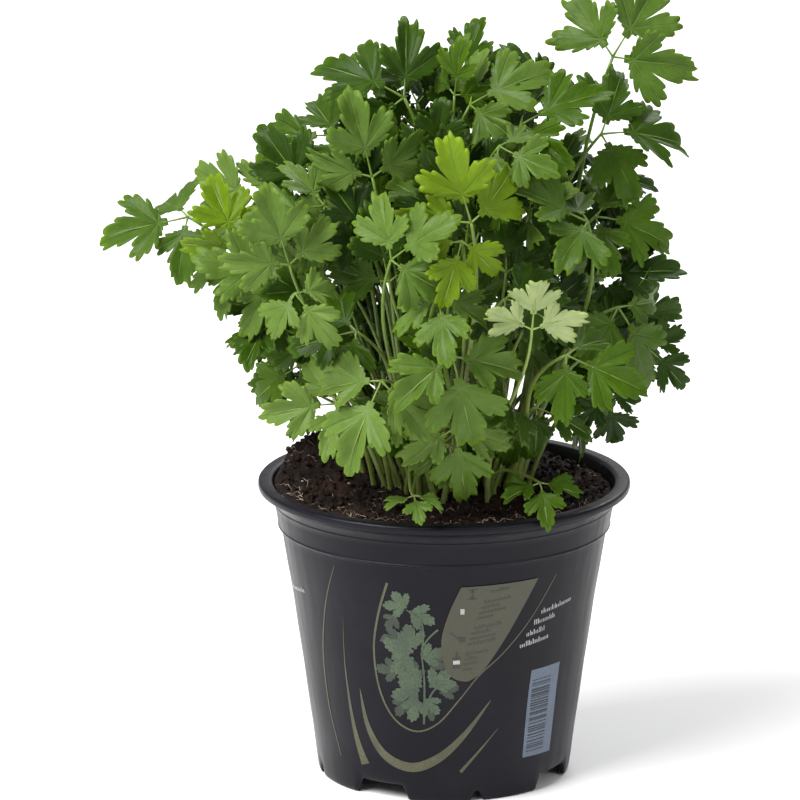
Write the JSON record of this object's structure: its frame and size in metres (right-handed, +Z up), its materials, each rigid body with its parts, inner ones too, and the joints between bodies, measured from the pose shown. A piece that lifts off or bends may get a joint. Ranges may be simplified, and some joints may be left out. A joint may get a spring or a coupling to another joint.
{
  "type": "potted parsley",
  "caption": "Bushy flat-leaf parsley of separate compound leaves on stalks, growing from mounded soil in a round black plastic nursery pot with a flared rim.",
  "frame": {"origin": "middle of the pot's foot, on the surface the pot stands on", "axes": "+Z up along the pot's axis; -Y towards the viewer, the front with the printed panel; +X to the viewer's right"},
  "size_m": [0.1866, 0.1585, 0.2545],
  "materials": {
    "pot_black": "smooth satin black plastic with a soft sheen",
    "soil_brown": "damp, crumbly dark brown peat with fibres",
    "leaf_dark": "fresh leaf, soft sheen, deep green",
    "leaf_mid": "fresh leaf, soft sheen, mid green",
    "leaf_light": "fresh leaf, soft sheen, light green",
    "leaf_lime": "fresh leaf, soft sheen, yellow green",
    "leaf_under": "matt pale underside of a fresh leaf",
    "stalk_green": "smooth juicy stalk, pale green",
    "print_gold": "thin printed line, dull gold",
    "print_white": "thin printed ink, white",
    "print_olive": "thin printed panel, olive",
    "print_green": "thin printed picture, muted green",
    "print_grey": "thin printed pattern, dark grey",
    "print_blue": "thin printed panel, pale blue",
    "root_fibre": "dry pale root fibre",
    "bark_bit": "reddish brown bark crumb",
    "white_grit": "matt white mineral grain"
  },
  "bodies": {
    "root": {"pot": "pot_black", "soil": "soil_brown", "leaf_01": "leaf_light", "leaf_02": "leaf_light", "leaf_03": "leaf_lime", "leaf_04": "leaf_lime", "leaf_05": "leaf_under", "leaf_06": "leaf_light", "leaf_07": "leaf_light", "leaf_08": "leaf_light", "leaf_09": "leaf_mid", "leaf_10": "leaf_mid", "leaf_11": "leaf_light", "leaf_12": "leaf_light", "leaf_13": "leaf_light", "leaf_14": "leaf_light", "leaf_15": "leaf_light", "leaf_16": "leaf_dark", "leaf_17": "leaf_mid", "leaf_18": "leaf_mid", "leaf_19": "leaf_light", "leaf_20": "leaf_mid", "leaf_21": "leaf_light", "leaf_22": "leaf_lime", "leaf_23": "leaf_mid", "leaf_24": "leaf_dark", "leaf_25": "leaf_light", "leaf_26": "leaf_lime", "leaf_27": "leaf_light", "leaf_28": "leaf_light", "leaf_29": "leaf_light", "leaf_30": "leaf_light", "leaf_31": "leaf_mid", "leaf_32": "leaf_dark", "leaf_33": "leaf_mid", "leaf_34": "leaf_dark", "leaf_35": "leaf_mid", "leaf_36": "leaf_dark", "leaf_37": "leaf_light", "leaf_38": "leaf_dark", "leaf_39": "leaf_mid", "leaf_40": "leaf_light", "leaf_41": "leaf_dark", "leaf_42": "leaf_mid", "leaf_43": "leaf_mid", "leaf_44": "leaf_dark", "leaf_45": "leaf_mid", "leaf_46": "leaf_mid", "leaf_47": "leaf_mid", "leaf_48": "leaf_dark", "leaf_49": "leaf_dark", "leaf_50": "leaf_mid", "leaf_51": "leaf_mid", "leaf_52": "leaf_mid", "leaf_53": "leaf_dark", "leaf_54": "leaf_mid", "leaf_55": "leaf_mid", "leaf_56": "leaf_mid", "leaf_57": "leaf_light", "leaf_58": "leaf_mid"}
  },
  "joints": []
}
